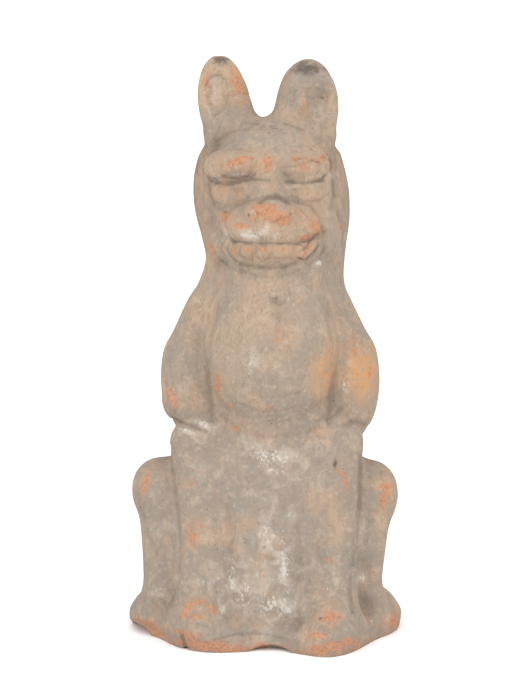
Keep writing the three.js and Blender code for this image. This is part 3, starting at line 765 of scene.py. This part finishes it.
# The hand-pressed, pitted skin: every point moves along its normal by soft noise and small pits
def skinTree(material):
    tree = bpy.data.node_groups.new("weathered skin", "GeometryNodeTree")
    sockets = {}
    face = tree.interface
    face.new_socket("Geometry", in_out="INPUT", socket_type="NodeSocketGeometry")
    for name in skinSettings:
        sockets[name] = face.new_socket(name, in_out="INPUT", socket_type="NodeSocketFloat").identifier
    face.new_socket("Geometry", in_out="OUTPUT", socket_type="NodeSocketGeometry")
    given = addNode(tree, "NodeGroupInput").outputs

    def maths(operation, a, b=0.0):
        return addNode(tree, "ShaderNodeMath", {0: a, 1: b}, operation=operation).outputs[0]

    place = addNode(tree, "GeometryNodeInputPosition").outputs[0]

    def noise(size, detail):
        links = {"Vector": place, "W": given["Seed"], "Scale": maths("DIVIDE", 1.0, size), "Detail": detail}
        noise = addNode(tree, "ShaderNodeTexNoise", links, noise_dimensions="4D")
        return maths("SUBTRACT", noise.outputs[0], 0.5)

    wave = maths("MULTIPLY", noise(given["Undulation Size"], 2.0), given["Undulation"])
    grain = maths("MULTIPLY", noise(given["Grain Size"], 3.0), given["Grain"])
    links = {"Vector": place, "W": given["Seed"], "Scale": maths("DIVIDE", 1.0, given["Pit Size"])}
    cells = addNode(tree, "ShaderNodeTexVoronoi", links, voronoi_dimensions="4D").outputs["Distance"]
    bowl = maths("MAXIMUM", maths("SUBTRACT", figure["pitReach"], cells), 0.0)
    pits = maths("MULTIPLY", maths("MULTIPLY", bowl, 1 / figure["pitReach"]), given["Pit Depth"])
    lift = maths("SUBTRACT", maths("ADD", wave, grain), pits)
    normal = addNode(tree, "GeometryNodeInputNormal").outputs[0]
    offset = addNode(tree, "ShaderNodeVectorMath", {0: normal, "Scale": lift}, operation="SCALE").outputs[0]
    height = addNode(tree, "ShaderNodeSeparateXYZ", {0: place}).outputs[2]
    offTable = addNode(tree, "FunctionNodeCompare", {0: height, 1: figure["footing"]},
                       operation="GREATER_THAN").outputs[0]
    moved = addNode(tree, "GeometryNodeSetPosition", {"Geometry": given["Geometry"], "Offset": offset,
                    "Selection": offTable}).outputs[0]
    smooth = addNode(tree, "GeometryNodeSetShadeSmooth", {"Geometry": moved}).outputs[0]
    real = addNode(tree, "GeometryNodeRealizeInstances", {"Geometry": smooth}).outputs[0]
    finished = addNode(tree, "GeometryNodeSetMaterial", {"Geometry": real, "Material": material}).outputs[0]
    addNode(tree, "NodeGroupOutput", {"Geometry": finished})
    return tree, sockets


def makeBeast(material):
    low, high, pitch = (-76, -76, -4), (76, 76, 304), figure["netPitch"]
    values = sampleGrid(figureField, low, high, pitch)
    points, quads = surfaceNet(values, low, pitch)
    for _ in range(2):
        points = settle(figureField, points, pitch)
    normals = gradient(figureField, points)
    shift = np.array([plinth["middle"], 0, 0])
    u, v = photoPixels((points - shift) * figure["unit"])
    points += normals * lowRelief(u, v, frontFacing(points, normals))[0][:, None]
    points[:, 2] = np.maximum(points[:, 2], 0)
    points = (points - shift) * figure["unit"]
    piece = addObject("beast", meshFrom("beast", points, quads))
    triangles = 2 * len(quads)
    print("net of the figure:", triangles, "triangles")
    if triangles > figure["faceTarget"]:
        piece.modifiers.new("thin", "DECIMATE").ratio = figure["faceTarget"] / triangles
        applyModifiers(piece)
    weather(piece.data)
    tree, sockets = skinTree(material)
    skin = piece.modifiers.new("skin", "NODES")
    skin.node_group = tree
    for name, key in skinSettings.items():
        skin[sockets[name]] = float(figure[key])
    applyModifiers(piece)
    inset = 0.00005
    kept = np.clip(coordinates(piece.data), np.array(beastBox[0]) + inset, np.array(beastBox[1]) - inset)
    kept[:, 2] = np.where(kept[:, 2] < 2 * inset, 0, kept[:, 2])
    piece.data.vertices.foreach_set("co", kept.astype(np.float32).ravel())
    piece.data.update()
    return piece


# Low-fired earthenware pressed in a mould: dry, matt and a little gritty, under a thin pale slip that has
# rubbed away to orange clay on high places, with grey soil and painted shade in the hollows, painted shade
# along the sides and white lime crusts.
clay = {
    "slipTan": "#A6917D", "slipGrey": "#8D8277", "slipWarm": "#AC917A", "slipPale": "#B6A692",
    "slipShade": "#857868", "wash": "#BC8B60", "clayOrange": "#B98363", "clayDeep": "#A26C4F",
    # the dust, soot and soil colours also paint shade: along the sides, in pits and grooves, and in hollows
    # and creases
    "dustAndShade": "#8B837B", "lime": "#CAC4BA", "sootAndShade": "#544D47", "soilAndShade": "#76675A", "inside": "#9F7458",
    "roughness": 0.93, "ior": 1.45, "specular": 0.15,
    "cloudMm": 34, "mottleMm": 9, "wispMm": 5, "flakeMm": 3.4, "fineMm": 1.7, "gritMm": 0.9,
    "speckMm": 5, "limeMm": 1.5,
}


def clayMaterial():
    material = bpy.data.materials.new("earthenware_moulded_worn_slip")
    material.use_nodes = True
    tree = material.node_tree
    tree.nodes.clear()
    place = addNode(tree, "ShaderNodeTexCoord").outputs["Object"]
    inMm = addNode(tree, "ShaderNodeVectorMath", {0: place, "Scale": 1000.0}, operation="SCALE").outputs[0]
    height = addNode(tree, "ShaderNodeSeparateXYZ", {0: inMm}).outputs[2]

    def maths(operation, a, b=0.0, c=0.0, clamp=False):
        node = addNode(tree, "ShaderNodeMath", {0: a, 1: b, 2: c}, operation=operation, use_clamp=clamp)
        return node.outputs[0]

    def noise(sizeMm, detail=3.0, shift=0.0, stretch=(1, 1, 1), rough=0.55, warp=0.0):
        links = {"Vector": inMm, "Location": (shift, -shift, 2 * shift), "Scale": stretch}
        moved = addNode(tree, "ShaderNodeMapping", links).outputs[0]
        settings = {"Vector": moved, "Scale": 1 / sizeMm, "Detail": detail, "Roughness": rough,
                    "Distortion": warp}
        return addNode(tree, "ShaderNodeTexNoise", settings).outputs[0]

    def rise(value, low, high, top=1.0):
        links = {"Value": value, "From Min": low, "From Max": high, "To Max": top}
        return addNode(tree, "ShaderNodeMapRange", links, interpolation_type="SMOOTHSTEP").outputs[0]

    def blend(factor, below, above):
        node = addNode(tree, "ShaderNodeMix", data_type="RGBA")
        for socket, value in ((node.inputs[0], factor), (node.inputs[6], below), (node.inputs[7], above)):
            if isinstance(value, bpy.types.NodeSocket):
                tree.links.new(value, socket)
            else:
                socket.default_value = linearColour(value) if isinstance(value, str) else value
        return node.outputs[2]

    def weight(name):
        return addNode(tree, "ShaderNodeAttribute", attribute_name=name).outputs["Fac"]

    # slip in soft clouds, greyer towards the feet, brushed in wisps and broken into fine pale and dark flecks
    mottle = noise(clay["mottleMm"], 5, 31, warp=0.8)
    wisp = noise(clay["wispMm"], 5, 83, (1, 1, 0.4), 0.6, 1.6)
    fine = noise(clay["fineMm"], 4, 57, rough=0.65)
    pale = noise(clay["fineMm"] * 1.4, 4, 11, rough=0.65)
    grit = noise(clay["gritMm"], 2, 91)
    slip = blend(rise(noise(clay["cloudMm"], 4), 0.38, 0.64, 0.7), clay["slipTan"], clay["slipGrey"])
    slip = blend(rise(height, 190, 90, 0.85), slip, clay["slipGrey"])
    slip = blend(rise(noise(clay["cloudMm"] * 0.6, 4, 12), 0.48, 0.68, 0.8), slip, clay["slipWarm"])
    slip = blend(rise(mottle, 0.5, 0.7, 0.45), slip, clay["slipPale"])
    slip = blend(rise(wisp, 0.48, 0.7, 0.55), slip, clay["slipShade"])
    slip = blend(rise(pale, 0.5, 0.72, 0.5), slip, clay["slipPale"])
    slip = blend(rise(fine, 0.5, 0.74, 0.65), slip, clay["slipShade"])
    # bare clay, where the slip has rubbed or flaked off, in ragged patches and small flecks
    flake = noise(clay["flakeMm"], 6, 7, rough=0.6, warp=0.5)
    patch = maths("ADD", maths("MULTIPLY", flake, 1.5), maths("MULTIPLY", mottle, 0.7))
    loss = maths("ADD", maths("MULTIPLY", weight("worn"), 0.78), patch)
    wash = maths("MULTIPLY", weight("warm"), rise(patch, 0.7, 1.25))
    slip = blend(maths("MULTIPLY", wash, 0.75, clamp=True), slip, clay["wash"])
    # grey dust on tops and painted shade along the sides, broken in wisps
    dustAndShadeCover = maths("MULTIPLY", weight("dustAndShade"), rise(wisp, 0.3, 0.6, 0.8), clamp=True)
    slip = blend(dustAndShadeCover, slip, clay["dustAndShade"])
    tint = rise(loss, 1.15, 1.75, 0.35)
    bare = rise(loss, 1.54, 1.63, 0.72)
    orange = blend(rise(fine, 0.4, 0.65), clay["clayOrange"], clay["clayDeep"])
    colour = blend(maths("MAXIMUM", tint, bare), slip, orange)
    # painted shade and soil in the hollows and creases, soot stains and painted shade in pits and grooves,
    # lime crusts
    shadeAndDirt = maths("ADD", weight("cavity"), maths("MULTIPLY", weight("crease"), 0.8))
    shadeAndDirt = rise(maths("ADD", shadeAndDirt, maths("MULTIPLY", wisp, 0.5)), 0.35, 1.2, 0.9)
    colour = blend(shadeAndDirt, colour, clay["soilAndShade"])
    # soot stains, and painted shade in nostrils, pits, grooves and creases
    stainAndShade = maths("ADD", maths("MULTIPLY", weight("sootAndShade"), 0.6),
                  maths("ADD", flake, maths("MULTIPLY", fine, 0.6)))
    colour = blend(rise(stainAndShade, 0.95, 1.75, 0.9), colour, clay["sootAndShade"])
    crumb = noise(clay["limeMm"], 4, 43, (1, 1, 0.7), 0.7)
    crust = maths("ADD", crumb, maths("ADD", maths("MULTIPLY", mottle, 0.3), maths("MULTIPLY", flake, 0.35)))
    crust = maths("ADD", crust, maths("MULTIPLY", weight("lime"), 0.3))
    veil = maths("MULTIPLY", weight("lime"), rise(mottle, 0.4, 0.62, 0.36))
    white = maths("MAXIMUM", rise(crust, 1.05, 1.19, 0.68), veil, clamp=True)
    colour = blend(white, colour, clay["lime"])
    # dark specks of iron grit
    cells = addNode(tree, "ShaderNodeTexVoronoi", {"Vector": inMm, "Scale": 1 / clay["speckMm"]})
    specks = cells.outputs["Distance"]
    colour = blend(rise(specks, 0.10, 0.05, 0.55), colour, clay["sootAndShade"])
    colour = blend(weight("inside"), colour, clay["inside"])
    # fine relief: flaked places a little lower, lime crusts a little higher, grit all over
    relief = maths("ADD", maths("MULTIPLY", grit, 0.12), maths("MULTIPLY", fine, 0.25))
    relief = maths("ADD", relief, maths("MULTIPLY", wisp, 0.35))
    relief = maths("SUBTRACT", relief, maths("MULTIPLY", bare, 0.12))
    relief = maths("ADD", relief, maths("MULTIPLY", white, 0.14))
    bump = addNode(tree, "ShaderNodeBump", {"Height": relief, "Strength": 0.8, "Distance": 0.001}).outputs[0]
    shader = addNode(tree, "ShaderNodeBsdfPrincipled", {"Base Color": colour, "Normal": bump})
    shader.inputs["Roughness"].default_value = clay["roughness"]
    shader.inputs["IOR"].default_value = clay["ior"]
    shader.inputs["Specular IOR Level"].default_value = clay["specular"]
    addNode(tree, "ShaderNodeOutputMaterial", {"Surface": shader.outputs[0]})
    return material


# Painted studio floor and soft light
studio = {"floor": "#FFFFFF", "floorSize": 40.0, "world": "#FFFFFF", "worldStrength": 1.1,
          "lights": (("key", (-0.8, -1.5, 1.6), 1.0, 70), ("fill", (1.5, -1.4, 1.0), 0.65, 90))}


def makeStudio():
    half = studio["floorSize"] / 2
    mesh = bpy.data.meshes.new("floor")
    corners = [(-half, -half, 0), (half, -half, 0), (half, half, 0), (-half, half, 0)]
    mesh.from_pydata(corners, [], [(0, 1, 2, 3)])
    floor = addObject("floor", mesh)
    material = bpy.data.materials.new("painted_board_matt")
    material.use_nodes = True
    shader = material.node_tree.nodes["Principled BSDF"]
    shader.inputs["Base Color"].default_value = linearColour(studio["floor"])
    shader.inputs["Roughness"].default_value = 0.9
    mesh.materials.append(material)
    world = bpy.data.worlds.new("studio")
    world.use_nodes = True
    world.node_tree.nodes["Background"].inputs[0].default_value = linearColour(studio["world"])
    world.node_tree.nodes["Background"].inputs[1].default_value = studio["worldStrength"]
    bpy.context.scene.world = world
    for name, place, strength, spread in studio["lights"]:
        light = bpy.data.lights.new(name, "SUN")
        light.energy = strength
        light.angle = math.radians(spread)
        lamp = addObject(name, light)
        lamp.location = place
        lamp.rotation_euler = (-Vector(place)).to_track_quat("-Z", "Y").to_euler()
    bpy.context.scene.view_settings.view_transform = "Standard"


makeCamera()
makeStudio()
print("camera and studio are in place")
beast = makeBeast(clayMaterial())
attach(beast, "root")
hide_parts("guardian_beast")
print("beast:", len(beast.data.polygons), "faces")
